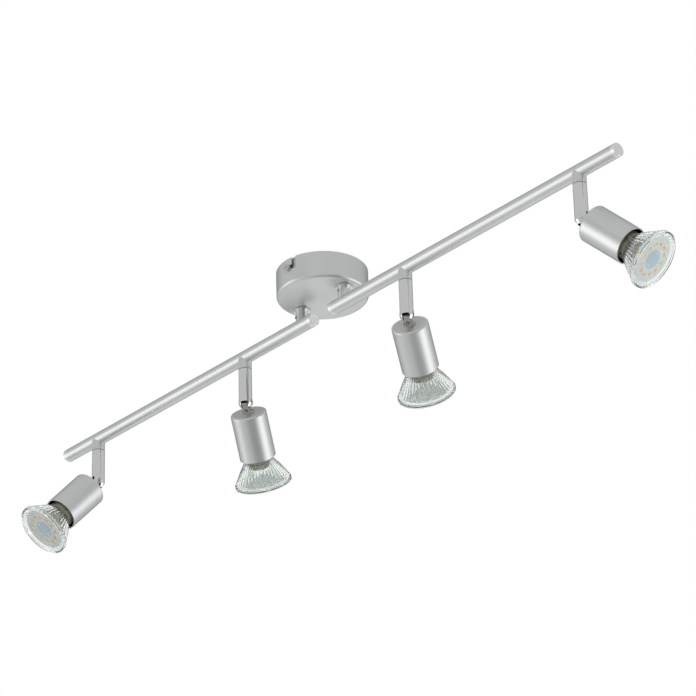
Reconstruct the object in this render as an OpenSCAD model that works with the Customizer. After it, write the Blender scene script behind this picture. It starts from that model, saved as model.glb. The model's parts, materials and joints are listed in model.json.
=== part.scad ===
// Ceiling spotlight bar: a round canopy carries two swivelling arms, each arm carries two stems, and
// each stem carries a tilting shell with a twist-lock reflector lamp.
// Millimetres. Z = 0 is the ceiling, Z points up, and the two arms lie along X.

/* [Canopy] */
// outer radius of the round ceiling canopy
canopy_r = 40; // [39:0.5:60]
// height of the canopy below the ceiling
canopy_h = 25; // [25:0.5:30]
// sheet thickness of the canopy
canopy_wall = 1; // [0.8:0.1:1.2]
// radius of the canopy's rounded lower edge
canopy_edge = 3; // [1.5:0.5:4]
// width of the L-shaped slot for each side screw
slot_w = 4.6; // [4.4:0.1:5.5]
// depth of the side screws below the ceiling
side_screw_z = 9; // [7:0.5:11]

/* [Ceiling bracket] */
// width of the bracket strip
bracket_w = 16; // [14:0.5:18]
// distance between the two ceiling screw slots
ceiling_spacing = 50; // [44:1:52]
// width of each ceiling screw slot
ceiling_slot_w = 4.6; // [4:0.1:5.5]
// end-to-end length of each ceiling screw slot
ceiling_slot_l = 12; // [8:0.5:13]

/* [Arms] */
// distance from the centre to each arm's vertical pivot
pivot_x = 27.5; // [26:0.5:28]
// depth of the tube axis below the ceiling
tube_z = 40; // [39.5:0.5:46]
// outer radius of the arm tube
tube_r = 6; // [6:0.1:7]
// distance from the centre to the inner end of each arm
arm_inner = 11.5; // [9:0.5:13]
// distance from the centre to the outer end of each arm
arm_outer = 356; // [335:1:400]
// distance from the centre to each inner stem
stem_inner = 104; // [95:1:125]
// distance from the centre to each outer stem
stem_outer = 311; // [290:1:325]

/* [Stems] */
// outer radius of the chromed stems
stem_r = 5.85; // [5.8:0.05:5.9]
// depth of the tilt pin below the ceiling
pin_z = 84.5; // [84:0.5:97]

/* [Spot heads] */
// outer radius of the shell
shell_r = 16; // [15:0.5:20]
// length of the shell
shell_l = 42; // [40:0.5:43]
// radius of the reflector lamp's rim
lamp_r = 25.2; // [25:0.1:25.5]
// direction head 1 points in, seen from above
turn_1 = 252; // [0:1:359]
// direction head 2 points in, seen from above
turn_2 = 124; // [0:1:359]
// direction head 3 points in, seen from above
turn_3 = 123; // [0:1:359]
// direction head 4 points in, seen from above
turn_4 = 25; // [0:1:359]
// tilt of head 1 away from straight down
tilt_1 = 42; // [0:0.5:90]
// tilt of head 2 away from straight down
tilt_2 = 46.5; // [0:0.5:90]
// tilt of head 3 away from straight down
tilt_3 = 54.5; // [0:0.5:90]
// tilt of head 4 away from straight down
tilt_4 = 47; // [0:0.5:90]

/* [Hidden] */

$fn = 96;

LEFT = -1;
RIGHT = 1;
STEM_X = [-stem_outer, -stem_inner, stem_inner, stem_outer];
TURN = [turn_1, turn_2, turn_3, turn_4];
TILT = [tilt_1, tilt_2, tilt_3, tilt_4];

// gap between faces that turn past each other, and radial gap of a running fit
face_gap = 0.3;
fit_gap = 0.05;
// gap between faces that rest on each other, and a looser one round parts that drop in
seat_gap = 0.05;
loose_gap = 0.1;
// gap where a part is saddled on the tube
saddle_gap = 0.01;
// overshoot of every cut
over = 1;

// canopy slots
slot_turn = 10;
side_screw_r = 2;
side_head_r = 3.5;
side_head_h = 2;
side_screw_reach = 3;
side_driver_w = 1;

// ceiling bracket
bracket_t = 1.5;
tab_h = 15;
tab_out = sqrt(pow(canopy_r - canopy_wall - face_gap, 2) - pow(bracket_w / 2, 2));

// terminal block
block = [28, 16, 13];
block_top = -bracket_t - loose_gap;
pole_pitch = 9;
port_drop = 7.5;
port_z = block_top - port_drop;
port_r = 1.8;
clamp_y = 4.5;
clamp_r = 1.7;
clamp_l = 3;
clamp_sink = 0.5;
clamp_driver = [0.6, 0.7];
fixing_r = 1.6;
wire_in = 3;
cable_r = 1.3;
branch_r = 1.1;
branch_y = 1.2;

// arm pivots
thread_r = 4;
wire_bore_r = 2.6;
neck_r = 5.4;
flange_r = 7.5;
flange_t = 1.5;
flange_top = -canopy_h - face_gap;
nut_bottom = -canopy_h + canopy_wall + face_gap;
nut_flange_r = 8;
nut_flange_t = 1;
nut_h = 5;
nut_flats = 13;
nipple_top = nut_bottom + nut_h + 3;
nipple_sink = 6;
grub_r = 1.5;
grub_out = 6.1;
grub_socket_r = 0.85;
grub_left = [250, -33];
grub_right = [250, -29.5];

// tubes
tube_wall = 1;
cap_l = 4;
cap_edge = 0.8;
plug_l = 6;
collar_r = 5.95;
collar_bottom = -tube_z - 12.5;
bend_r = 4;

// stems
stem_gap = 0.5;
stem_top = collar_bottom - stem_gap;
stem_bottom = -pin_z - 5;
swivel_bottom = stem_top - 9;
clip_r = 4.6;
clip_t = 1;
clip_z = stem_top - 6;
chamber_r = 5;
slot_half = 3.1;
slot_top = -pin_z + 4.8;
back_slot_top = -pin_z - 0.9;
back_wall_in = 4.6;
chamfer_h = 3;
chamfer_r = 4;
pin_r = 1.5;
pin_head_r = 2.5;
pin_head_t = 1.1;
pin_seat = 4.7;
pin_driver = [0.8, 0.5];

// the shell and lamp share one axis, set off from the tilt pin; their depths start this far above it
head_offset = 1.5;
head_raise = 1.4;

// knuckle
tongue_half = 2.8;
eye_r = 4.2;
tongue_w = 7.4;
knuckle_flange_r = 5.2;
knuckle_flange_t = 1.7;
lead_bore_r = 1.7;
lead_r = 1.1;
lead_depth = 7.6;
stub_end = 16.5;

// shell and lamp holder, measured down the head axis
shell_top = 11.4;
tongue_l = shell_top - head_raise - 1;
shell_wall = 1;
shell_edge = 1.6;
strap_t = 1;
strap_r = 12.5;
holder_r = 11;
holder_top = shell_top + shell_wall + seat_gap + strap_t;
holder_end = 31;
lock_nut_flats = 11;
tail_top = 9;
nut_recess_r = 6.9;
nut_recess_end = 17.2;
cavity_r = 8.4;
cavity_top = 22;
plate_top = 27.5;
lock_turn = 30;

// lamp, measured down the head axis
lamp_top = holder_end + face_gap;
pin_circle = 5;
contact_r = 1.5;
contact_head_r = 2.5;
contact_head_t = 2.5;
base_r = 11.5;
neck_start = 49;
neck_step = 0.7;
notch = [3, 4, 4];
notch_bite = 0.6;
notch_lift = 1.5;
spigot_r0 = 10.2;
spigot_r1 = 10.9;
post_x = 6;
post_r = 1;
bowl_start = 56.5;
neck_end = 62.5;
band_start = 76.2;
lamp_end = 79;
bowl_r0 = 12.5;
bowl_r1 = 24.9;
bowl_wall = 1.3;
bowl_power = 0.85;
bowl_steps = 12;
rim_edge = 0.6;
ledge_w = 0.9;
cover_r = 22.4;
cover_seat = 77.5;
board_r = 20;
board_top = 75.3;
board_t = 1.2;
led_ring_r = 13.5;
led_count = 12;
led_w = 2.8;
led_t = 0.8;

// outer radius of the glass bowl at depth h
function bowl_r(h) =
    bowl_r0 + (bowl_r1 - bowl_r0) * pow(max(0, h - bowl_start) / (band_start - bowl_start), bowl_power);

// half outline of a cup with its closed end on the X axis and a rounded outer edge
module cup_outline(r, h, edge) {
    square([r - edge, h]);
    translate([0, edge]) square([r, h - edge]);
    translate([r - edge, edge]) circle(edge);
}

// an open-topped cup of sheet, standing on its closed end
module cup(r, h, wall, edge) {
    rotate_extrude() difference() {
        cup_outline(r, h, edge);
        translate([0, wall]) cup_outline(r - wall, h, edge - wall / 2);
    }
}

// a quarter bend of cable about the Z axis, from +X to +Y
module elbow(r) {
    rotate_extrude(angle = 90) translate([bend_r, 0]) circle(r);
}

// places a right-hand arm, or its mirror image on the left
module on_arm(side) {
    if (side == LEFT) mirror([1, 0, 0]) children();
    else children();
}

// stem frame: +X is the way the head tilts, Y is the tilt pin, Z = 0 is the ceiling
module on_stem(i) {
    translate([STEM_X[i], 0, 0]) rotate([0, 0, TURN[i]]) children();
}

// head frame: the tilt pin at the origin and the lamp hanging along -Z
module on_head(i) {
    on_stem(i) translate([0, 0, -pin_z]) rotate([0, -TILT[i], 0]) children();
}

// shell frame: Z runs up the axis of shell and lamp
module on_shell(i) {
    on_head(i) to_shell_axis() children();
}

// moves from the tilt pin to the start of the shell axis
module to_shell_axis() {
    translate([head_offset, 0, head_raise]) children();
}

// a cylinder between two depths down the head axis
module down(top, end, r) {
    translate([0, 0, -end]) cylinder(r = r, h = end - top);
}

// one L-shaped slot in the canopy wall, for the screw at -Y: its upright leg is open at the rim
module side_slot() {
    leg_x = canopy_r * sin(slot_turn);
    translate([0, 3 * over - canopy_r, -side_screw_z]) rotate([90, 0, 0]) linear_extrude(5 * over) {
        translate([-slot_w / 2, -slot_w / 2]) square([leg_x + slot_w, slot_w]);
        translate([leg_x - slot_w / 2, -slot_w / 2]) square([slot_w, side_screw_z + slot_w / 2 + over]);
    }
}

module canopy() {
    color("silver") difference() {
        translate([0, 0, -canopy_h]) cup(canopy_r, canopy_h, canopy_wall, canopy_edge);
        for (x = [-pivot_x, pivot_x])
            translate([x, 0, -canopy_h - over]) cylinder(r = thread_r + fit_gap, h = canopy_wall + 2 * over);
        side_slot();
        rotate([0, 0, 180]) side_slot();
    }
}

module ceiling_bracket() {
    color("lightgray") difference() {
        union() {
            translate([-bracket_w / 2, -tab_out, -bracket_t]) cube([bracket_w, 2 * tab_out, bracket_t]);
            for (y = [-tab_out, tab_out - bracket_t])
                translate([-bracket_w / 2, y, -tab_h]) cube([bracket_w, bracket_t, tab_h]);
        }
        for (s = [-1, 1]) {
            reach = (ceiling_slot_l - ceiling_slot_w) / 2;
            translate([0, s * ceiling_spacing / 2, -bracket_t - over]) {
                for (y = [-reach, reach])
                    translate([0, y, 0]) cylinder(d = ceiling_slot_w, h = bracket_t + 2 * over);
                translate([-ceiling_slot_w / 2, -reach, 0])
                    cube([ceiling_slot_w, 2 * reach, bracket_t + 2 * over]);
            }
            translate([0, s * (tab_out + over), -side_screw_z]) rotate([s * 90, 0, 0])
                cylinder(r = side_screw_r + fit_gap, h = bracket_t + 2 * over);
        }
    }
}

module side_screws() {
    color("gainsboro") for (a = [0, 180]) rotate([0, 0, a]) difference() {
        union() {
            translate([0, -canopy_r - loose_gap, -side_screw_z]) rotate([90, 0, 0])
                cylinder(r = side_head_r, h = side_head_h);
            translate([0, -canopy_r - over, -side_screw_z]) rotate([-90, 0, 0])
                cylinder(r = side_screw_r, h = canopy_r - tab_out + bracket_t + side_screw_reach);
        }
        translate([-side_head_r - over, -canopy_r - 2 * side_head_h, -side_screw_z - side_driver_w / 2])
            cube([2 * side_head_r + 2 * over, side_head_h + side_driver_w, side_driver_w]);
    }
}

module terminal_block() {
    color("ivory") difference() {
        translate([-block.x / 2, -block.y / 2, block_top - block.z]) cube(block);
        for (x = [-pole_pitch, 0, pole_pitch]) {
            translate([x, block.y / 2 + over, port_z]) rotate([90, 0, 0])
                cylinder(r = port_r, h = block.y + 2 * over);
            for (y = [-clamp_y, clamp_y])
                translate([x, y, block_top - block.z - over])
                    cylinder(r = clamp_r + loose_gap, h = block.z - port_drop);
        }
        for (x = [-pole_pitch / 2, pole_pitch / 2])
            translate([x, 0, block_top - block.z - over]) cylinder(r = fixing_r, h = block.z + 2 * over);
    }
}

module terminal_screws() {
    color("goldenrod") for (x = [-pole_pitch, 0, pole_pitch]) for (y = [-clamp_y, clamp_y]) difference() {
        translate([x, y, block_top - block.z + clamp_sink]) cylinder(r = clamp_r, h = clamp_l);
        translate([x - 2 * clamp_r, y - clamp_driver[0] / 2, block_top - block.z])
            cube([4 * clamp_r, clamp_driver[0], clamp_sink + clamp_driver[1]]);
    }
}

// cable from a port at -Y, round to the pivot and down into its nipple
module supply_wires() {
    first_y = -block.y / 2 - wire_in;
    color("dimgray") for (s = [LEFT, RIGHT]) on_arm(s) {
        translate([pole_pitch, first_y, port_z]) rotate([-90, 0, 0]) cylinder(r = cable_r, h = 2 * wire_in);
        translate([pole_pitch + bend_r, first_y, port_z]) rotate([0, 0, 180]) elbow(cable_r);
        translate([pole_pitch + bend_r, first_y - bend_r, port_z]) rotate([0, 90, 0])
            cylinder(r = cable_r, h = pivot_x - pole_pitch - 2 * bend_r);
        translate([pivot_x - bend_r, first_y, port_z]) rotate([0, 0, 270]) elbow(cable_r);
        translate([pivot_x, first_y, port_z]) rotate([-90, 0, 0])
            cylinder(r = cable_r, h = -first_y - bend_r);
        translate([pivot_x, -bend_r, port_z - bend_r]) rotate([90, 0, 90]) elbow(cable_r);
        translate([pivot_x, 0, nut_bottom + over])
            cylinder(r = cable_r, h = port_z - bend_r - nut_bottom - over);
    }
}

module tube() {
    color("silver") difference() {
        translate([arm_inner + cap_l, 0, -tube_z]) rotate([0, 90, 0])
            cylinder(r = tube_r, h = arm_outer - arm_inner - 2 * cap_l);
        translate([arm_inner, 0, -tube_z]) rotate([0, 90, 0])
            cylinder(r = tube_r - tube_wall, h = arm_outer - arm_inner);
        translate([pivot_x, 0, -tube_z]) cylinder(r = wire_bore_r, h = tube_r + over);
        for (x = [stem_inner, stem_outer])
            translate([x, 0, -tube_z - tube_r - over]) cylinder(r = thread_r + fit_gap, h = tube_r + over);
    }
}

// one end cap on the X axis: its rounded head faces +X and its plug points to -X
module tube_cap() {
    rotate([0, 90, 0]) {
        rotate_extrude() {
            square([tube_r - cap_edge, cap_l]);
            square([tube_r, cap_l - cap_edge]);
            intersection() {
                translate([tube_r - cap_edge, cap_l - cap_edge]) circle(cap_edge);
                square([tube_r, cap_l]);
            }
        }
        translate([0, 0, -plug_l]) cylinder(r = tube_r - tube_wall - loose_gap, h = plug_l + over);
    }
}

module tube_caps() {
    color("gainsboro") {
        translate([arm_outer - cap_l, 0, -tube_z]) tube_cap();
        translate([arm_inner + cap_l, 0, -tube_z]) rotate([0, 0, 180]) tube_cap();
    }
}

// grub screw in the pivot neck, at a heading seen from above and a depth
module grub_place(place) {
    translate([pivot_x, 0, place[1]]) rotate([0, 0, place[0]]) rotate([0, 90, 0]) children();
}

module pivot_neck(grub) {
    color("lightgray") difference() {
        union() {
            translate([pivot_x, 0, flange_top - flange_t]) cylinder(r = flange_r, h = flange_t);
            translate([pivot_x, 0, -tube_z]) cylinder(r = neck_r, h = tube_z + flange_top);
        }
        translate([pivot_x, 0, -tube_z - over]) cylinder(r = wire_bore_r, h = tube_z);
        translate([pivot_x, 0, flange_top - nipple_sink]) cylinder(r = thread_r + fit_gap, h = tube_z);
        translate([0, 0, -tube_z]) rotate([0, 90, 0]) cylinder(r = tube_r + saddle_gap, h = 2 * pivot_x);
        grub_place(grub) cylinder(r = grub_r + fit_gap, h = neck_r + over);
    }
}

module pivot_grub_screw(grub) {
    color("gray") grub_place(grub) difference() {
        translate([0, 0, thread_r + loose_gap]) cylinder(r = grub_r, h = grub_out - thread_r - loose_gap);
        translate([0, 0, grub_out - over]) cylinder(r = grub_socket_r, h = 2 * over, $fn = 6);
    }
}

module pivot_nipple() {
    color("gold") difference() {
        translate([pivot_x, 0, flange_top - nipple_sink + loose_gap])
            cylinder(r = thread_r, h = nipple_top - flange_top + nipple_sink - loose_gap);
        translate([pivot_x, 0, -canopy_h - 2 * nipple_sink]) cylinder(r = wire_bore_r, h = canopy_h);
    }
}

module pivot_nut() {
    color("gainsboro") difference() {
        union() {
            translate([pivot_x, 0, nut_bottom]) cylinder(r = nut_flange_r, h = nut_flange_t);
            translate([pivot_x, 0, nut_bottom]) cylinder(d = nut_flats / cos(30), h = nut_h, $fn = 6);
        }
        translate([pivot_x, 0, nut_bottom - over]) cylinder(r = thread_r + fit_gap, h = nut_h + 2 * over);
    }
}

module collars() {
    color("silver") for (x = [stem_inner, stem_outer]) difference() {
        translate([x, 0, collar_bottom]) cylinder(r = collar_r, h = -tube_z - collar_bottom);
        translate([x, 0, collar_bottom - over]) cylinder(r = thread_r + fit_gap, h = tube_z);
        translate([x - 2 * tube_r, 0, -tube_z]) rotate([0, 90, 0])
            cylinder(r = tube_r + saddle_gap, h = 4 * tube_r);
    }
}

module swivel_nipples() {
    color("gold") for (x = [stem_inner, stem_outer]) difference() {
        union() {
            translate([x, 0, swivel_bottom])
                cylinder(r = thread_r, h = -tube_z - tube_r + 2 * tube_wall - swivel_bottom);
            translate([x, 0, clip_z - clip_t]) cylinder(r = clip_r, h = clip_t);
        }
        translate([x, 0, swivel_bottom - over]) cylinder(r = wire_bore_r, h = tube_z);
    }
}

// cable branch from the pivot along the tube, then down through the swivel at x
module arm_wire(x, y) {
    translate([0, y, 0]) {
        translate([pivot_x, 0, bend_r - tube_z]) cylinder(r = branch_r, h = nut_bottom + tube_z - bend_r);
        translate([pivot_x + bend_r, 0, bend_r - tube_z]) rotate([90, 0, 0])
            rotate([0, 0, 180]) elbow(branch_r);
        translate([pivot_x + bend_r, 0, -tube_z]) rotate([0, 90, 0])
            cylinder(r = branch_r, h = x - pivot_x - 2 * bend_r);
        translate([x - bend_r, 0, -tube_z - bend_r]) rotate([90, 0, 0])
            elbow(branch_r);
        translate([x, 0, swivel_bottom + over])
            cylinder(r = branch_r, h = -tube_z - bend_r - swivel_bottom - over);
    }
}

module arm_wires() {
    color("dimgray") {
        arm_wire(stem_inner, -branch_y);
        arm_wire(stem_outer, branch_y);
    }
}

// chromed stem: a swivel socket at its top and a one-sided fork at its bottom
module stem() {
    color("whitesmoke") difference() {
        union() {
            translate([0, 0, stem_bottom + chamfer_h])
                cylinder(r = stem_r, h = stem_top - stem_bottom - chamfer_h);
            translate([0, 0, stem_bottom]) cylinder(r1 = chamfer_r, r2 = stem_r, h = chamfer_h);
        }
        translate([0, 0, clip_z]) cylinder(r = thread_r + fit_gap, h = 3 * thread_r);
        translate([0, 0, swivel_bottom - face_gap])
            cylinder(r = chamber_r, h = clip_z + face_gap - swivel_bottom + face_gap);
        translate([0, 0, slot_top - over]) cylinder(r = wire_bore_r, h = swivel_bottom - slot_top + over);
        translate([-back_wall_in, -slot_half, stem_bottom - over])
            cube([back_wall_in + stem_r + over, 2 * slot_half, slot_top - stem_bottom + over]);
        translate([-stem_r - over, -slot_half, stem_bottom - over])
            cube([stem_r + over, 2 * slot_half, back_slot_top - stem_bottom + over]);
        translate([0, stem_r + over, -pin_z]) rotate([90, 0, 0])
            cylinder(r = pin_r + fit_gap, h = 2 * stem_r + 2 * over);
        for (s = [-1, 1]) translate([0, s * pin_seat, -pin_z]) rotate([-s * 90, 0, 0])
            cylinder(r = pin_head_r + loose_gap, h = stem_r);
    }
}

module hinge_screw() {
    head_z = pin_seat + seat_gap;
    color("whitesmoke") translate([0, 0, -pin_z]) rotate([90, 0, 0]) difference() {
        union() {
            translate([0, 0, -head_z]) cylinder(r = pin_r, h = 2 * head_z);
            translate([0, 0, head_z]) cylinder(r = pin_head_r, h = pin_head_t);
            translate([0, 0, -head_z - pin_head_t]) cylinder(r = pin_head_r, h = pin_head_t);
        }
        translate([-pin_driver[0] / 2, -2 * pin_head_r, pin_seat + pin_head_t - pin_driver[1]])
            cube([pin_driver[0], 4 * pin_head_r, over]);
    }
}

// tongue, flange and threaded stub that join the shell to the stem
module knuckle() {
    color("whitesmoke") difference() {
        union() {
            rotate([90, 0, 0]) translate([0, 0, -tongue_half]) cylinder(r = eye_r, h = 2 * tongue_half);
            translate([-tongue_w / 2, -tongue_half, -tongue_l]) cube([tongue_w, 2 * tongue_half, tongue_l]);
            to_shell_axis() {
                down(shell_top - seat_gap - knuckle_flange_t, shell_top - seat_gap, knuckle_flange_r);
                down(shell_top - over, stub_end, thread_r);
            }
        }
        rotate([90, 0, 0]) translate([0, 0, -2 * tongue_half])
            cylinder(r = pin_r + fit_gap, h = 4 * tongue_half);
        to_shell_axis() {
            down(lead_depth, stub_end + over, lead_bore_r);
            translate([-tongue_w, 0, -lead_depth]) rotate([0, 90, 0])
                cylinder(r = lead_bore_r, h = 2 * tongue_w);
        }
    }
}

module shell() {
    color("silver") difference() {
        translate([0, 0, -shell_top]) mirror([0, 0, 1]) cup(shell_r, shell_l, shell_wall, shell_edge);
        down(shell_top - over, shell_top + shell_wall + over, thread_r + loose_gap);
    }
}

// curved keyhole for one contact pin: the pin sits at +Y and turns out by lock_turn
module keyhole() {
    slot_r = contact_r + 2 * loose_gap;
    rotate([0, 0, 90 - lock_turn]) rotate_extrude(angle = lock_turn)
        translate([pin_circle - slot_r, 0]) square([2 * slot_r, holder_end]);
    translate([0, pin_circle, 0]) cylinder(r = slot_r, h = holder_end);
    rotate([0, 0, -lock_turn]) translate([0, pin_circle, 0])
        cylinder(r = contact_head_r + face_gap, h = holder_end);
}

// lamp socket with its strap, lock nut and tail cable
module lamp_holder() {
    strap_top = holder_top - strap_t;
    color("linen") difference() {
        down(holder_top + seat_gap, holder_end, holder_r);
        down(holder_top, nut_recess_end, nut_recess_r);
        down(cavity_top, plate_top, cavity_r);
        down(nut_recess_end - over, cavity_top + over, lead_bore_r);
        translate([0, 0, -plate_top - holder_end]) {
            keyhole();
            rotate([0, 0, 180]) keyhole();
        }
    }
    color("silver") difference() {
        down(strap_top, holder_top, strap_r);
        down(strap_top - over, holder_top + over, thread_r + fit_gap);
    }
    color("silver") difference() {
        translate([0, 0, -stub_end + face_gap])
            cylinder(d = lock_nut_flats / cos(30), h = stub_end - holder_top - face_gap - loose_gap,
                     $fn = 6);
        down(holder_top, stub_end + over, thread_r + fit_gap);
    }
    color("dimgray") down(tail_top, cavity_top + over / 2, lead_r);
}

// lamp base with two contact pins, a notched neck and two posts for the light board
module lamp_base() {
    color("tan") difference() {
        union() {
            down(lamp_top, neck_start, base_r);
            down(neck_start, bowl_start - seat_gap, base_r + neck_step);
            translate([0, 0, -neck_end])
                cylinder(r1 = spigot_r0, r2 = spigot_r1, h = neck_end - bowl_start + over);
            for (x = [-post_x, post_x])
                translate([x, 0, 0]) down(neck_end - over, board_top - seat_gap, post_r);
        }
        for (a = [30:60:330]) rotate([0, 0, a])
            translate([base_r - notch_bite, -notch.y / 2, -bowl_start + notch_lift]) cube(notch);
    }
    color("gainsboro") for (s = [-1, 1]) translate([0, s * pin_circle, 0]) {
        down(plate_top - face_gap - contact_head_t, plate_top - face_gap, contact_head_r);
        down(plate_top - face_gap - over, lamp_top, contact_r);
    }
}

module lamp_glass() {
    outer = [for (i = [0:bowl_steps]) let (h = bowl_start + (band_start - bowl_start) * i / bowl_steps)
        [bowl_r(h), -h]];
    inner = [for (i = [bowl_steps:-1:0]) let (h = bowl_start + (band_start - bowl_start) * i / bowl_steps)
        [bowl_r(h) - bowl_wall, -h]];
    rim = [
        [lamp_r, -band_start], [lamp_r, -lamp_end + rim_edge], [lamp_r - rim_edge, -lamp_end],
        [cover_r, -lamp_end], [cover_r, -cover_seat], [cover_r - ledge_w, -cover_seat],
        [cover_r - ledge_w, -cover_seat + rim_edge]
    ];
    color("lightblue", 0.5) rotate_extrude() polygon(concat(outer, rim, inner));
}

module lamp_cover() {
    color("lightcyan", 0.5) down(cover_seat + seat_gap, lamp_end - face_gap, cover_r - seat_gap);
}

module led_board() {
    color("lightsteelblue") {
        down(board_top, board_top + board_t, board_r);
        for (i = [0:led_count - 1]) rotate([0, 0, (i + 0.5) * 360 / led_count])
            translate([led_ring_r - led_w / 2, -led_w / 2, -board_top - board_t - led_t])
                cube([led_w, led_w, led_t + 0.2]);
    }
}

canopy();
ceiling_bracket();
side_screws();
terminal_block();
terminal_screws();
supply_wires();
on_arm(LEFT) tube();  // left_tube
on_arm(LEFT) tube_caps();  // left_tube_caps
on_arm(LEFT) pivot_neck([180 - grub_left[0], grub_left[1]]);  // left_pivot_neck
on_arm(LEFT) pivot_grub_screw([180 - grub_left[0], grub_left[1]]);  // left_pivot_grub_screw
on_arm(LEFT) pivot_nipple();  // left_pivot_nipple
on_arm(LEFT) pivot_nut();  // left_pivot_nut
on_arm(LEFT) collars();  // left_collars
on_arm(LEFT) swivel_nipples();  // left_swivel_nipples
on_arm(LEFT) arm_wires();  // left_arm_wires
on_arm(RIGHT) tube();  // right_tube
on_arm(RIGHT) tube_caps();  // right_tube_caps
on_arm(RIGHT) pivot_neck(grub_right);  // right_pivot_neck
on_arm(RIGHT) pivot_grub_screw(grub_right);  // right_pivot_grub_screw
on_arm(RIGHT) pivot_nipple();  // right_pivot_nipple
on_arm(RIGHT) pivot_nut();  // right_pivot_nut
on_arm(RIGHT) collars();  // right_collars
on_arm(RIGHT) swivel_nipples();  // right_swivel_nipples
on_arm(RIGHT) arm_wires();  // right_arm_wires
on_stem(0) stem();  // stem_1
on_stem(1) stem();  // stem_2
on_stem(2) stem();  // stem_3
on_stem(3) stem();  // stem_4
on_stem(0) hinge_screw();  // hinge_screw_1
on_stem(1) hinge_screw();  // hinge_screw_2
on_stem(2) hinge_screw();  // hinge_screw_3
on_stem(3) hinge_screw();  // hinge_screw_4
on_head(0) knuckle();  // knuckle_1
on_head(1) knuckle();  // knuckle_2
on_head(2) knuckle();  // knuckle_3
on_head(3) knuckle();  // knuckle_4
on_shell(0) shell();  // shell_1
on_shell(1) shell();  // shell_2
on_shell(2) shell();  // shell_3
on_shell(3) shell();  // shell_4
on_shell(0) lamp_holder();  // lamp_holder_1
on_shell(1) lamp_holder();  // lamp_holder_2
on_shell(2) lamp_holder();  // lamp_holder_3
on_shell(3) lamp_holder();  // lamp_holder_4
on_shell(0) lamp_base();  // lamp_base_1
on_shell(1) lamp_base();  // lamp_base_2
on_shell(2) lamp_base();  // lamp_base_3
on_shell(3) lamp_base();  // lamp_base_4
on_shell(0) lamp_glass();  // lamp_glass_1
on_shell(1) lamp_glass();  // lamp_glass_2
on_shell(2) lamp_glass();  // lamp_glass_3
on_shell(3) lamp_glass();  // lamp_glass_4
on_shell(0) lamp_cover();  // lamp_cover_1
on_shell(1) lamp_cover();  // lamp_cover_2
on_shell(2) lamp_cover();  // lamp_cover_3
on_shell(3) lamp_cover();  // lamp_cover_4
on_shell(0) led_board();  // led_board_1
on_shell(1) led_board();  // led_board_2
on_shell(2) led_board();  // led_board_3
on_shell(3) led_board();  // led_board_4
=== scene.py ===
"""Looks for the ceiling spotlight bar: camera, light, materials and the detailed lamp pieces."""
import json
import math

import bmesh
import bpy
from mathutils import Matrix, Vector


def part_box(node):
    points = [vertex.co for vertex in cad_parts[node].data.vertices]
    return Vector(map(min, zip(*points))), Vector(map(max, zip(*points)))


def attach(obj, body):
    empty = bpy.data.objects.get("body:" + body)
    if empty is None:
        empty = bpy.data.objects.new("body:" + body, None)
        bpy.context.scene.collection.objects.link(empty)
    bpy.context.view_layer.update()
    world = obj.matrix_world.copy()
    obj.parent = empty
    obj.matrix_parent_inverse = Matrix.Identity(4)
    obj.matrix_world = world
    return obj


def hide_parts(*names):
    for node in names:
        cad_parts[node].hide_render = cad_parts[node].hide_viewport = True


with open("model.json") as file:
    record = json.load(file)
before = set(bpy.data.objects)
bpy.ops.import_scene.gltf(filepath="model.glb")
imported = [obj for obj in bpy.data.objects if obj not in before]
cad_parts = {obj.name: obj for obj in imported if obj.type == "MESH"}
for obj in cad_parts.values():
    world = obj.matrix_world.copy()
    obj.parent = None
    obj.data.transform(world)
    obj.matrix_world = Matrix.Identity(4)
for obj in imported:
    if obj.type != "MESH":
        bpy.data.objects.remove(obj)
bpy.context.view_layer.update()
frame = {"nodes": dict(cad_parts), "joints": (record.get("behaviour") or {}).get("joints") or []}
NODES = frame["nodes"]
JOINTS = {j["name"]: j for j in frame["joints"]}
HEADS = (1, 2, 3, 4)
MM = 0.001


# ---------------------------------------------------------------- camera

# angles in degrees, distances in metres, and the lens in millimetres
CAMERA_AZIMUTH = 47.24
CAMERA_ELEVATION = -27.88
CAMERA_ROLL = -1.76
CAMERA_DISTANCE = 3.159
CAMERA_AIM_RIGHT = 0.0225
CAMERA_AIM_UP = -0.0647
CAMERA_LENS = 188.22
CAMERA_FAR = 100


def camera_axes():
    """Right, up and back of the camera before roll, as unit vectors."""
    azimuth, elevation = math.radians(CAMERA_AZIMUTH), math.radians(CAMERA_ELEVATION)
    back = Vector((
        math.sin(azimuth) * math.cos(elevation),
        -math.cos(azimuth) * math.cos(elevation),
        math.sin(elevation),
    ))
    right = Vector((math.cos(azimuth), math.sin(azimuth), 0))
    return right, back.cross(right), back


def place(obj, right, up, back, location):
    """Puts obj at location, with its own X, Y and Z along three unit vectors."""
    matrix = Matrix((right, up, back)).transposed().to_4x4()
    matrix.translation = location
    obj.matrix_world = matrix


def make_camera():
    """Camera where the photo was taken from."""
    right, up, back = camera_axes()
    roll = math.radians(CAMERA_ROLL)
    rolled_right = right * math.cos(roll) + up * math.sin(roll)
    rolled_up = up * math.cos(roll) - right * math.sin(roll)
    data = bpy.data.cameras.new("camera")
    data.lens = CAMERA_LENS
    data.clip_end = CAMERA_FAR
    obj = bpy.data.objects.new("camera", data)
    bpy.context.scene.collection.objects.link(obj)
    aim = rolled_right * CAMERA_AIM_RIGHT + rolled_up * CAMERA_AIM_UP
    place(obj, rolled_right, rolled_up, back, back * CAMERA_DISTANCE + aim)
    bpy.context.scene.camera = obj


# ---------------------------------------------------------------- light and floor

FLOOR_Z = -2.2
FLOOR_HALF = 30
FLOOR_COLOUR = (0.85, 0.85, 0.84, 1)
FLOOR_ROUGH = 0.9
FLOOR_GLOW = 0.45
SURROUND = 0.56
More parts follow.
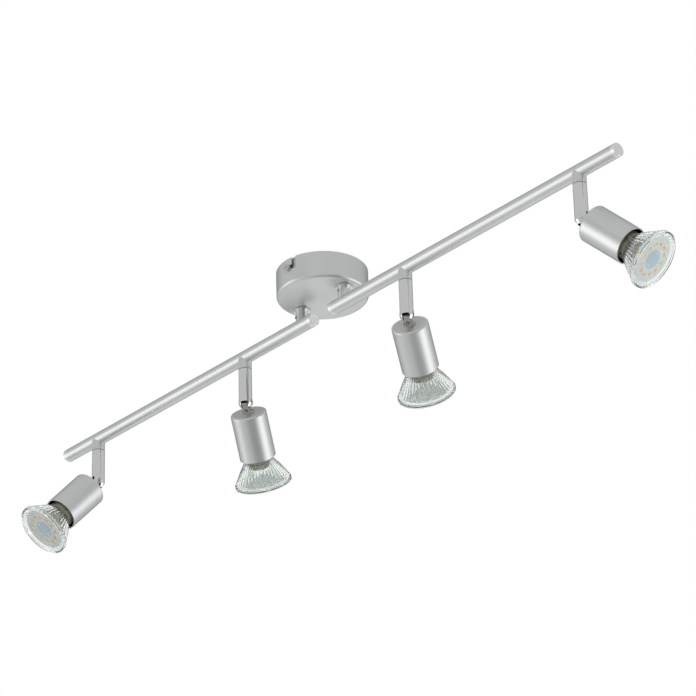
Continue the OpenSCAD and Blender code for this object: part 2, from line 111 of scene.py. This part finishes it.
# soft cards in the surroundings: angle to the right of the camera's side, elevation, half width
# and soft edge in degrees, and brightness
CARDS = [
    (-89, -12, 15, 12, 1.75),   # bright, left
    (87, -20, 17, 13, 1.70),    # bright, right
    (25, -62, 20, 16, 0.20),    # dark, underneath
    (180, -30, 26, 22, 0.80),   # pale, behind and low
    (44, -24, 18, 8, 0.0),      # dark, right of the camera
    (-54, 9, 8, 6, 0.25),       # dark, left of the camera
    (180, 28, 34, 20, 0.12),    # dark, behind and high
]
DARKEST = 0.015


def math_node(tree, operation, a, b=None):
    """Output of a math node. a and b are numbers or sockets."""
    node = tree.nodes.new("ShaderNodeMath")
    node.operation = operation
    for socket, value in zip(node.inputs, (a, b)):
        if value is None:
            continue
        if isinstance(value, (int, float)):
            socket.default_value = value
        else:
            tree.links.new(value, socket)
    return node.outputs[0]


def vector_node(tree, operation, a, b):
    """Output of a vector math node. a and b are vectors or sockets."""
    node = tree.nodes.new("ShaderNodeVectorMath")
    node.operation = operation
    for socket, value in zip(node.inputs, (a, b)):
        if isinstance(value, Vector):
            socket.default_value = value
        else:
            tree.links.new(value, socket)
    return node.outputs["Value"] if operation == "DOT_PRODUCT" else node.outputs["Vector"]


def smooth_step(tree, value, low, high):
    """Rises smoothly from 0 where value is low to 1 where it is high."""
    node = tree.nodes.new("ShaderNodeMapRange")
    node.interpolation_type = "SMOOTHSTEP"
    node.inputs["From Min"].default_value = low
    node.inputs["From Max"].default_value = high
    tree.links.new(value, node.inputs["Value"])
    return node.outputs["Result"]


def studio_direction(angle, elevation):
    """Unit vector towards a place in the studio, from its angle and elevation as in CARDS."""
    turn, rise = math.radians(CAMERA_AZIMUTH - 90 + angle), math.radians(elevation)
    level = math.cos(rise)
    return Vector((math.cos(turn) * level, math.sin(turn) * level, math.sin(rise)))


def make_world():
    """Studio that lights the object and shows in reflections.

    Seen directly or through glass it is white.
    """
    world = bpy.data.worlds.new("studio")
    bpy.context.scene.world = world
    world.use_nodes = True
    tree = world.node_tree
    background = tree.nodes["Background"]
    direction = tree.nodes.new("ShaderNodeTexCoord").outputs["Generated"]
    level = None
    for angle, elevation, half, soft, bright in CARDS:
        facing = vector_node(tree, "DOT_PRODUCT", direction, studio_direction(angle, elevation))
        edge, core = (math.cos(math.radians(half + s)) for s in (soft, -soft))
        share = smooth_step(tree, facing, edge, core)
        card = math_node(tree, "MULTIPLY", share, bright - SURROUND)
        level = math_node(tree, "ADD", card, SURROUND if level is None else level)
    level = math_node(tree, "MAXIMUM", level, DARKEST)
    path = tree.nodes.new("ShaderNodeLightPath")
    straight = math_node(
        tree, "MAXIMUM", path.outputs["Is Camera Ray"], path.outputs["Is Transmission Ray"]
    )
    # inputs 2 and 3 are the two values of a number mix
    backdrop = tree.nodes.new("ShaderNodeMix")
    backdrop.inputs[3].default_value = 1.0
    tree.links.new(straight, backdrop.inputs["Factor"])
    tree.links.new(level, backdrop.inputs[2])
    tree.links.new(backdrop.outputs[0], background.inputs["Color"])


def softbox(name, right_part, up_part, distance, size, watts):
    """Square area light on the camera's side, aimed at the object."""
    right, up, back = camera_axes()
    towards = (right * right_part + up * up_part + back).normalized()
    data = bpy.data.lights.new(name, "AREA")
    data.size = size
    data.energy = watts
    obj = bpy.data.objects.new(name, data)
    bpy.context.scene.collection.objects.link(obj)
    side = Vector((0, 0, 1)).cross(towards).normalized()
    place(obj, side, towards.cross(side), towards, towards * distance)
    obj.visible_glossy = False


def make_floor():
    """Pale floor far below the ceiling fixture.

    It shows in views from above, and hides the object from a camera lower than FLOOR_Z.
    """
    mesh = bpy.data.meshes.new("floor")
    form = bmesh.new()
    bmesh.ops.create_grid(form, x_segments=1, y_segments=1, size=FLOOR_HALF)
    bmesh.ops.translate(form, verts=form.verts, vec=(0, 0, FLOOR_Z))
    form.to_mesh(mesh)
    form.free()
    floor = bpy.data.objects.new("floor", mesh)
    bpy.context.scene.collection.objects.link(floor)
    material = bpy.data.materials.new("floor")
    material.use_nodes = True
    shader = material.node_tree.nodes["Principled BSDF"]
    shader.inputs["Base Color"].default_value = FLOOR_COLOUR
    shader.inputs["Roughness"].default_value = FLOOR_ROUGH
    shader.inputs["Emission Color"].default_value = (1, 1, 1, 1)
    shader.inputs["Emission Strength"].default_value = FLOOR_GLOW
    mesh.materials.append(material)
    floor.visible_glossy = False
    floor.visible_diffuse = False


# ---------------------------------------------------------------- materials

# how a finish mixes its patches and grain, and how strongly the grain shows as relief
PATCH_SHARE = 0.6
RAMP_LOW = 0.3
RAMP_HIGH = 0.7
RELIEF = 0.5
GLASS_IOR = 1.5
# slot in a stem, from the tilt pin; the inside of the slot is painted near black as shade
SLOT_HALF = 3.1 * MM
SLOT_TOP = 4.8 * MM
SLOT_MARGIN = 0.05 * MM
STEM_SKIN = 0.2 * MM
# eye of a knuckle, from the tilt pin along the head's axis; its upper half is painted near black
# as shade
EYE_RADIUS = 4.3 * MM
EYE_LOWEST = -1.0 * MM
KNUCKLE_EDGE = 0.6 * MM
EDGE_STEPS = 3
EDGE_ANGLE = 40  # degrees
# inner wall of a shell, from its outer wall and its closed end; the inner wall is painted near
# black as shade
SHELL_SKIN = 0.9 * MM
SHELL_LID = 0.5 * MM
# white posts of a lamp base, back from its front end
POST_LENGTH = 12.7 * MM
# vertices closer than this are joined
WELD = 0.001 * MM
CHROME_TINT = (0.86, 0.87, 0.87)
# darker chrome, as painted shade for the dark surroundings that the knuckles reflect
KNUCKLE_SHADED_TINT = (0.50, 0.49, 0.46)
# near black, as painted shade inside a stem's slot and on the upper half of a knuckle's eye
FORK_SHADE = (0.02, 0.02, 0.02)
# near black, as painted shade on the inner wall of a shell
SHELL_INSIDE_SHADE = (0.045, 0.046, 0.042)
POST_WHITE = (0.85, 0.87, 0.85)


def surface(name, base, rough, metallic=0.0, spread=0.05, patch=30, grain=1500, bump=0.1,
            rough_spread=0.05):
    """A finish with uneven colour and gloss and a fine grain.

    patch and grain are noise scales per metre, and bump is the height of the grain in hundredths
    of a millimetre.
    """
    material = bpy.data.materials.new(name)
    material.use_nodes = True
    tree = material.node_tree
    shader = tree.nodes["Principled BSDF"]
    point = tree.nodes.new("ShaderNodeTexCoord").outputs["Object"]

    def noise(scale, detail):
        node = tree.nodes.new("ShaderNodeTexNoise")
        node.inputs["Scale"].default_value = scale
        node.inputs["Detail"].default_value = detail
        tree.links.new(point, node.inputs["Vector"])
        return node.outputs["Fac"]

    patches, fine = noise(patch, 3), noise(grain, 4)
    tint = tree.nodes.new("ShaderNodeValToRGB")
    low, high = tint.color_ramp.elements
    low.position, high.position = RAMP_LOW, RAMP_HIGH
    low.color = (*(c * (1 - spread) for c in base), 1)
    high.color = (*(min(1, c * (1 + spread)) for c in base), 1)
    blend = math_node(tree, "ADD", math_node(tree, "MULTIPLY", patches, PATCH_SHARE),
                      math_node(tree, "MULTIPLY", fine, 1 - PATCH_SHARE))
    tree.links.new(blend, tint.inputs["Fac"])
    tree.links.new(tint.outputs["Color"], shader.inputs["Base Color"])
    gloss = tree.nodes.new("ShaderNodeMapRange")
    gloss.inputs["To Min"].default_value = max(0.01, rough - rough_spread)
    gloss.inputs["To Max"].default_value = rough + rough_spread
    tree.links.new(fine, gloss.inputs["Value"])
    tree.links.new(gloss.outputs["Result"], shader.inputs["Roughness"])
    relief = tree.nodes.new("ShaderNodeBump")
    relief.inputs["Strength"].default_value = RELIEF
    relief.inputs["Distance"].default_value = bump * 0.01 * MM
    tree.links.new(fine, relief.inputs["Height"])
    tree.links.new(relief.outputs["Normal"], shader.inputs["Normal"])
    shader.inputs["Metallic"].default_value = metallic
    return material


def chrome(name, tint):
    """Bright plating."""
    return surface(name, tint, 0.06, metallic=1, spread=0.015, grain=700, bump=0.05,
                   rough_spread=0.03)


def silver(name):
    """Satin silver paint."""
    return surface(name, (0.76, 0.78, 0.77), 0.40, metallic=0.85, spread=0.03, grain=2600,
                   bump=0.5)


def glass(name, tint, rough, grain, transmission=1.0):
    """Clear glass with a faint grain."""
    material = surface(name, tint, rough, spread=0.015, grain=grain, bump=0.3, rough_spread=0.015)
    shader = material.node_tree.nodes["Principled BSDF"]
    shader.inputs["Transmission Weight"].default_value = transmission
    shader.inputs["IOR"].default_value = GLASS_IOR
    return material


def tilt_pin(n):
    """(direction, place) of the tilt pin of head n."""
    tilt = JOINTS[f"head_{n}_tilt"]
    return Vector(tilt["axis"]).normalized(), Vector(tilt["pos_m"])


def lamp_frame(n):
    """Frame of lamp n: origin on its axis, Z out of its front and Y along the tilt pin."""
    lock = JOINTS[f"lamp_{n}_lock"]
    axis, pin = Vector(lock["axis"]).normalized(), tilt_pin(n)[0]
    matrix = Matrix((pin.cross(axis), pin, axis)).transposed().to_4x4()
    matrix.translation = Vector(lock["pos_m"])
    return matrix


def extent(node, matrix):
    """(nearest depth, furthest depth, largest radius) of a CAD node in a lamp's frame."""
    into = matrix.inverted()
    points = [into @ v.co for v in NODES[node].data.vertices]
    depths = [p.z for p in points]
    return min(depths), max(depths), max(math.hypot(p.x, p.y) for p in points)


def paint_where(material, colour, *tests):
    """Paints the part of a surface where every test socket is 1."""
    tree = material.node_tree
    shader = tree.nodes["Principled BSDF"]
    where = tests[0]
    for test in tests[1:]:
        where = math_node(tree, "MULTIPLY", where, test)
    paint = shader.inputs["Base Color"].links[0].from_socket
    # inputs 6 and 7 and output 2 are the colours of a colour mix
    mix = tree.nodes.new("ShaderNodeMix")
    mix.data_type = "RGBA"
    mix.inputs[7].default_value = (*colour, 1)
    tree.links.new(where, mix.inputs["Factor"])
    tree.links.new(paint, mix.inputs[6])
    tree.links.new(mix.outputs[2], shader.inputs["Base Color"])
    return material


def local_to(material, origin):
    """Socket with the surface point measured from origin."""
    tree = material.node_tree
    point = tree.nodes.new("ShaderNodeTexCoord").outputs["Object"]
    return vector_node(tree, "SUBTRACT", point, origin)


def off_axis(tree, local, along):
    """Squared distance from an axis, when along is how far local reaches along it."""
    reach = vector_node(tree, "DOT_PRODUCT", local, local)
    return math_node(tree, "SUBTRACT", reach, math_node(tree, "MULTIPLY", along, along))


def shell_finish(n):
    """Silver paint, with painted shade: its inner wall is painted near black."""
    matrix = lamp_frame(n)
    top, _, radius = extent(f"shell_{n}", matrix)
    material = silver(f"shell_paint_{n}")
    tree = material.node_tree
    local = local_to(material, matrix.translation)
    depth = vector_node(tree, "DOT_PRODUCT", local, matrix.col[2].xyz)
    inner = (radius - SHELL_SKIN) ** 2
    near_axis = math_node(tree, "LESS_THAN", off_axis(tree, local, depth), inner)
    below_top = math_node(tree, "GREATER_THAN", depth, top + SHELL_LID)
    # painted shade: the inner wall is painted near black
    return paint_where(material, SHELL_INSIDE_SHADE, near_axis, below_top)


def lamp_base_finish(n):
    """Grey-beige moulding, with white posts beyond its neck."""
    matrix = lamp_frame(n)
    _, end, _ = extent(f"lamp_base_{n}", matrix)
    material = surface(f"lamp_base_plastic_{n}", (0.24, 0.23, 0.17), 0.35, spread=0.12, grain=900,
                       bump=1.5)
    tree = material.node_tree
    local = local_to(material, matrix.translation)
    depth = vector_node(tree, "DOT_PRODUCT", local, matrix.col[2].xyz)
    posts = math_node(tree, "GREATER_THAN", depth, end - POST_LENGTH)
    return paint_where(material, POST_WHITE, posts)


def stem_finish(n):
    """Chrome, with painted shade: the inside of its slot for the knuckle is painted near black."""
    pin, origin = tilt_pin(n)
    material = chrome(f"stem_chrome_{n}", CHROME_TINT)
    tree = material.node_tree
    local = local_to(material, origin)
    along = math_node(tree, "ABSOLUTE", vector_node(tree, "DOT_PRODUCT", local, pin))
    height = vector_node(tree, "DOT_PRODUCT", local, Vector((0, 0, 1)))
    inside = math_node(tree, "LESS_THAN", along, SLOT_HALF + SLOT_MARGIN)
    below = math_node(tree, "LESS_THAN", height, SLOT_TOP + SLOT_MARGIN)
    stem_low, stem_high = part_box(f"stem_{n}")
    radius = (stem_high[0] - stem_low[0]) / 2 - STEM_SKIN
    within = math_node(tree, "LESS_THAN", off_axis(tree, local, height), radius ** 2)
    # painted shade: the inside of the slot is painted near black
    return paint_where(material, FORK_SHADE, inside, below, within)


def knuckle_finish(n):
    """Chrome darkened as painted shade, with the upper half of its eye, which stays inside the
    fork, painted near black as shade.
    """
    pin, origin = tilt_pin(n)
    # painted shade: the knuckle's chrome is darker than the stems' chrome
    material = chrome(f"knuckle_chrome_{n}", KNUCKLE_SHADED_TINT)
    tree = material.node_tree
    local = local_to(material, origin)
    along = vector_node(tree, "DOT_PRODUCT", local, pin)
    eye = math_node(tree, "LESS_THAN", off_axis(tree, local, along), EYE_RADIUS ** 2)
    depth = vector_node(tree, "DOT_PRODUCT", local, lamp_frame(n).col[2].xyz)
    upper = math_node(tree, "LESS_THAN", depth, EYE_LOWEST)
    # painted shade: the upper half of the eye, inside the fork, is painted near black
    return paint_where(material, FORK_SHADE, eye, upper)


def soften_edges(node, width):
    """Rounds the edges of a CAD node a little, where light catches them."""
    weld = NODES[node].modifiers.new("weld", "WELD")
    weld.merge_threshold = WELD
    bevel = NODES[node].modifiers.new("soft_edges", "BEVEL")
    bevel.width = width
    bevel.segments = EDGE_STEPS
    bevel.limit_method = "ANGLE"
    bevel.angle_limit = math.radians(EDGE_ANGLE)


def finish(node, material):
    """Gives a CAD node its finished material."""
    mesh = NODES[node].data
    mesh.materials.clear()
    mesh.materials.append(material)


def finish_frame():
    """Gives the CAD nodes their materials, and puts the finished sockets in."""
    paint = silver("silver_paint")
    cap = surface("cap_paint", (0.88, 0.89, 0.87), 0.4, metallic=0.7, spread=0.03, grain=2600)
    nickel = surface("nickel", (0.78, 0.79, 0.77), 0.24, metallic=1, grain=900, bump=0.2)
    plating = chrome("chrome", CHROME_TINT)
    zinc = surface("zinc_steel", (0.70, 0.70, 0.71), 0.3, metallic=1, grain=1800, bump=0.5)
    plate = surface("galvanised_steel", (0.60, 0.61, 0.62), 0.38, metallic=1, spread=0.14,
                    patch=160, grain=1200, bump=0.6)
    brass = surface("brass", (0.72, 0.56, 0.26), 0.28, metallic=1, spread=0.08, grain=1500)
    ivory = surface("ivory_plastic", (0.83, 0.80, 0.70), 0.5, grain=2200, bump=0.8)
    sheath = surface("cable_sheath", (0.09, 0.09, 0.10), 0.55, grain=1800, bump=1.0)
    ceramic = surface("ceramic", (0.82, 0.79, 0.71), 0.35, spread=0.06, grain=1400, bump=0.8)
    for side in ("left", "right"):
        for part in ("tube", "collars"):
            finish(f"{side}_{part}", paint)
        finish(f"{side}_tube_caps", cap)
        finish(f"{side}_pivot_neck", nickel)
        for part in ("pivot_grub_screw", "pivot_nut"):
            finish(f"{side}_{part}", zinc)
        for part in ("pivot_nipple", "swivel_nipples"):
            finish(f"{side}_{part}", brass)
        finish(f"{side}_arm_wires", sheath)
    finish("canopy", paint)
    finish("ceiling_bracket", plate)
    finish("side_screws", zinc)
    finish("terminal_block", ivory)
    finish("terminal_screws", brass)
    finish("supply_wires", sheath)
    for n in HEADS:
        finish(f"hinge_screw_{n}", plating)
        finish(f"knuckle_{n}", knuckle_finish(n))
        finish(f"stem_{n}", stem_finish(n))
        soften_edges(f"knuckle_{n}", KNUCKLE_EDGE)
        finish(f"shell_{n}", shell_finish(n))
        make_socket(n, ceramic)
        finish(f"lamp_base_{n}", lamp_base_finish(n))


# ---------------------------------------------------------------- lamp pieces

SHARP_EDGE = 38  # degrees

# contact plate of a socket, back from its mouth
SOCKET_PLATE = 3.5 * MM
SAME_LEVEL = 0.01 * MM

# bowl and its rim
FLUTES = 40
FLUTE_DEPTH = 0.75 * MM
FLUTE_FADE = 0.4
AROUND = FLUTES * 8
BOWL_WALL = 1.3 * MM
BOWL_POWER = 0.85
BOWL_RINGS = 16
BOWL_INSET = 0.3 * MM
NECK_BAND = 0.1 * MM
RIM_HEIGHT = 2.8 * MM
RIM_ROUND = 0.6 * MM
RIM_STEP = 30  # degrees
SEAT_DEPTH = 1.5 * MM
SEAT_LEDGE = 0.85 * MM
SEAT_GAP = 0.05 * MM

# front cover; its flat middle and its edge are shares of its radius
LENS_RINGS = 30
LENS_STEPS = 192
LENS_FLAT = 0.66
LENS_EDGE = 0.96
DIMPLE_DEPTH = 0.22 * MM
DIMPLE_RINGS = 3
DIMPLES_AROUND = 24

# material indices of the light board, whose own enamel is 0
HOUSING, PHOSPHOR, SOLDER, FILM = range(1, 5)
BOARD_STEPS = 96
BOARD_HEIGHT = 1.2 * MM
FILM_STEPS = 72
FILM_RADIUS = 8.3 * MM
FILM_HEIGHT = 0.12 * MM
CHIPS = 12
CHIP_RING = 13.5 * MM
CHIP_SIDE = 2.8 * MM
CHIP_HEIGHT = 0.8 * MM
CHIP_SINK = 0.05 * MM
CHIP_TRIM = 0.2 * MM
WINDOW_SHARE = 0.8
WINDOW_HEIGHT = 0.3 * MM
PAD_SHARE = 0.6
PAD_WIDTH = 0.5 * MM
PAD_OFFSET = 0.58
PAD_HEIGHT = 0.16 * MM
PAD_RISE = 0.05 * MM
LEAD_PAD_OUT = 6 * MM
LEAD_PAD_SIDE = 2.2 * MM
LEAD_PAD_HEIGHT = 0.3 * MM
LEAD_PAD_RISE = 0.1 * MM


def revolve(form, profile, steps, shape=None, closed=True):
    """Turns (radius, depth) points about Z and returns the rings of vertices.

    shape(point, index, angle) may move a point, and closed joins the last point to the first.
    """
    rings = []
    for index, point in enumerate(profile):
        ring = []
        for step in range(steps):
            angle = 2 * math.pi * step / steps
            r, depth = shape(point, index, angle) if shape else point
            ring.append(form.verts.new((r * math.cos(angle), r * math.sin(angle), depth)))
        rings.append(ring)
    pairs = list(zip(rings, rings[1:]))
    if closed:
        pairs.append((rings[-1], rings[0]))
    for lower, upper in pairs:
        for step in range(steps):
            after = (step + 1) % steps
            form.faces.new((lower[step], lower[after], upper[after], upper[step]))
    return rings


def lamp_piece(form, name, n, node, materials, body="lamp"):
    """Moves a form made in lamp n's frame into place, as a piece that replaces a CAD node."""
    bmesh.ops.recalc_face_normals(form, faces=form.faces)
    form.transform(lamp_frame(n))
    mesh = bpy.data.meshes.new(name)
    form.to_mesh(mesh)
    form.free()
    for material in materials:
        mesh.materials.append(material)
    mesh.shade_smooth()
    mesh.set_sharp_from_angle(angle=math.radians(SHARP_EDGE))
    piece = bpy.data.objects.new(name, mesh)
    bpy.context.scene.collection.objects.link(piece)
    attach(piece, f"{body}_{n}")
    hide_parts(node)


def make_socket(n, material):
    """The CAD socket, with the contact keyholes open right through its plate.

    In the CAD a skin of no thickness covers the wide end of each keyhole, so the plate's upper
    face is filled again here, around the keyholes' own outlines.
    """
    node = f"lamp_holder_{n}"
    matrix = lamp_frame(n)
    _, mouth, _ = extent(node, matrix)
    level = mouth - SOCKET_PLATE
    form = bmesh.new()
    form.from_mesh(NODES[node].data)
    form.transform(matrix.inverted())
    bmesh.ops.remove_doubles(form, verts=form.verts, dist=WELD)

    def is_level(part):
        return all(abs(v.co.z - level) < SAME_LEVEL for v in part.verts)

    bmesh.ops.delete(form, geom=[f for f in form.faces if is_level(f)], context="FACES")
    rims = [e for e in form.edges if e.is_boundary and is_level(e)]
    bmesh.ops.triangle_fill(form, use_beauty=True, edges=rims, normal=(0, 0, -1))
    lamp_piece(form, f"lamp_socket_{n}", n, node, [material], body="head")


def make_bowl(n, material):
    """Fluted glass bowl with a smooth rim."""
    matrix = lamp_frame(n)
    start, end, rim = extent(f"lamp_glass_{n}", matrix)
    _, _, lens = extent(f"lamp_cover_{n}", matrix)
    band = end - RIM_HEIGHT
    into = matrix.inverted()
    points = [into @ v.co for v in NODES[f"lamp_glass_{n}"].data.vertices]
    neck = max(math.hypot(p.x, p.y) for p in points if p.z < start + NECK_BAND)
    wide = rim - BOWL_INSET
    seat = lens + SEAT_GAP

    def radius(t):
        return neck + (wide - neck) * t ** BOWL_POWER

    shares = [i / BOWL_RINGS for i in range(BOWL_RINGS + 1)]
    outer = [(radius(t), start + (band - start) * t) for t in shares]
    arc = [
        (rim - RIM_ROUND + RIM_ROUND * math.cos(a), end - RIM_ROUND + RIM_ROUND * math.sin(a))
        for a in (math.radians(d) for d in range(0, 91, RIM_STEP))
    ]
    ledge = end - SEAT_DEPTH
    rim_points = [(rim, band), *arc, (seat, end), (seat, ledge), (lens - SEAT_LEDGE, ledge)]
    inner = [(radius(t) - BOWL_WALL, start + (band - start) * t) for t in reversed(shares)]

    def flute(point, index, angle):
        r, depth = point
        if index > BOWL_RINGS:
            return r, depth
        fade = max(0, math.sin(math.pi * index / BOWL_RINGS)) ** FLUTE_FADE
        return r - FLUTE_DEPTH * fade * (0.5 - 0.5 * math.cos(FLUTES * angle)) ** 2, depth

    form = bmesh.new()
    revolve(form, [*outer, *rim_points, *inner], AROUND, flute)
    lamp_piece(form, f"lamp_bowl_{n}", n, f"lamp_glass_{n}", [material])


def make_lens(n, material):
    """Clear front cover: flat in the middle, with rings of dimples near its edge."""
    back, front, radius = extent(f"lamp_cover_{n}", lamp_frame(n))
    points = [(radius * i / LENS_RINGS, front) for i in range(1, LENS_RINGS + 1)]

    def dimple(point, index, angle):
        r, depth = point
        share = r / radius
        if depth < front or not LENS_FLAT < share < LENS_EDGE:
            return point
        across = (share - LENS_FLAT) / (LENS_EDGE - LENS_FLAT)
        rings = math.sin(DIMPLE_RINGS * math.pi * across) ** 2
        return r, depth - DIMPLE_DEPTH * (rings * math.cos(DIMPLES_AROUND * angle) ** 2)

    form = bmesh.new()
    made = revolve(form, [*points, (radius, back)], LENS_STEPS, dimple, closed=False)
    form.faces.new(made[-1])
    form.faces.new(list(reversed(made[0])))
    lamp_piece(form, f"lamp_lens_{n}", n, f"lamp_cover_{n}", [material])


def paint_faces(verts, index):
    """Gives every face that touches these vertices a material index."""
    for face in {f for v in verts for f in v.link_faces}:
        face.material_index = index


def block(form, centre, size, turn, index):
    """Box placed at centre and then turned about the lamp's axis, with a material index."""
    matrix = Matrix.Rotation(turn, 4, "Z") @ Matrix.Translation(centre)
    matrix = matrix @ Matrix.Diagonal((*size, 1))
    paint_faces(bmesh.ops.create_cube(form, size=1, matrix=matrix)["verts"], index)


def make_board(n, materials):
    """Light board with chips, their phosphor windows and solder pads."""
    back, front, radius = extent(f"led_board_{n}", lamp_frame(n))
    top = back + BOARD_HEIGHT
    form = bmesh.new()
    rings = revolve(form, [(radius, back), (radius, top)], BOARD_STEPS, closed=False)
    form.faces.new(rings[0])
    form.faces.new(rings[1])
    disc = Matrix.Translation((0, 0, top + FILM_HEIGHT / 2))
    film = bmesh.ops.create_cone(form, cap_ends=True, segments=FILM_STEPS, radius1=FILM_RADIUS,
                                 radius2=FILM_RADIUS, depth=FILM_HEIGHT, matrix=disc)
    paint_faces(film["verts"], FILM)
    housing = (CHIP_SIDE, CHIP_SIDE, CHIP_HEIGHT - CHIP_TRIM)
    window = (CHIP_SIDE * WINDOW_SHARE, CHIP_SIDE * WINDOW_SHARE, WINDOW_HEIGHT)
    pad = (CHIP_SIDE * PAD_SHARE, PAD_WIDTH, PAD_HEIGHT)
    lead_pad = (LEAD_PAD_SIDE, LEAD_PAD_SIDE, LEAD_PAD_HEIGHT)
    for i in range(CHIPS):
        turn = math.radians((i + 0.5) * 360 / CHIPS)
        block(form, (CHIP_RING, 0, top + CHIP_HEIGHT / 2 - CHIP_SINK), housing, turn, HOUSING)
        block(form, (CHIP_RING, 0, front - WINDOW_HEIGHT / 2), window, turn, PHOSPHOR)
        for side in (-1, 1):
            spot = (CHIP_RING, side * CHIP_SIDE * PAD_OFFSET, top + PAD_RISE)
            block(form, spot, pad, turn, SOLDER)
    for side in (-1, 1):
        block(form, (side * LEAD_PAD_OUT, 0, top + LEAD_PAD_RISE), lead_pad, 0, SOLDER)
    lamp_piece(form, f"light_board_{n}", n, f"led_board_{n}", materials)


def make_lamps():
    """Bowl, front cover and light board of every lamp."""
    bowl = glass("fluted_glass", (0.95, 0.985, 0.965), 0.03, 500, transmission=0.94)
    lens = glass("clear_glass", (0.97, 0.985, 0.985), 0.03, 300)
    # in the order of the light board's material indices
    board = [
        surface("board_enamel", (0.80, 0.83, 0.81), 0.4, spread=0.05, grain=1500, bump=0.5),
        surface("chip_housing", (0.88, 0.87, 0.82), 0.4, grain=3000, bump=0.3),
        surface("phosphor", (0.95, 0.64, 0.10), 0.45, spread=0.1, patch=900, grain=4000, bump=0.6),
        surface("solder", (0.78, 0.78, 0.79), 0.28, metallic=1, grain=2500, bump=1.0),
        surface("board_film", (0.50, 0.66, 0.74), 0.3, spread=0.06, grain=900, bump=0.5),
    ]
    for n in HEADS:
        make_bowl(n, bowl)
        make_lens(n, lens)
        make_board(n, board)


make_camera()
bpy.context.scene.view_settings.view_transform = "Standard"
make_world()
softbox("key_light", right_part=0.40, up_part=-0.50, distance=1.8, size=0.7, watts=12)
softbox("top_light", right_part=-0.60, up_part=1.20, distance=2.2, size=1.2, watts=12)
make_floor()
finish_frame()
make_lamps()
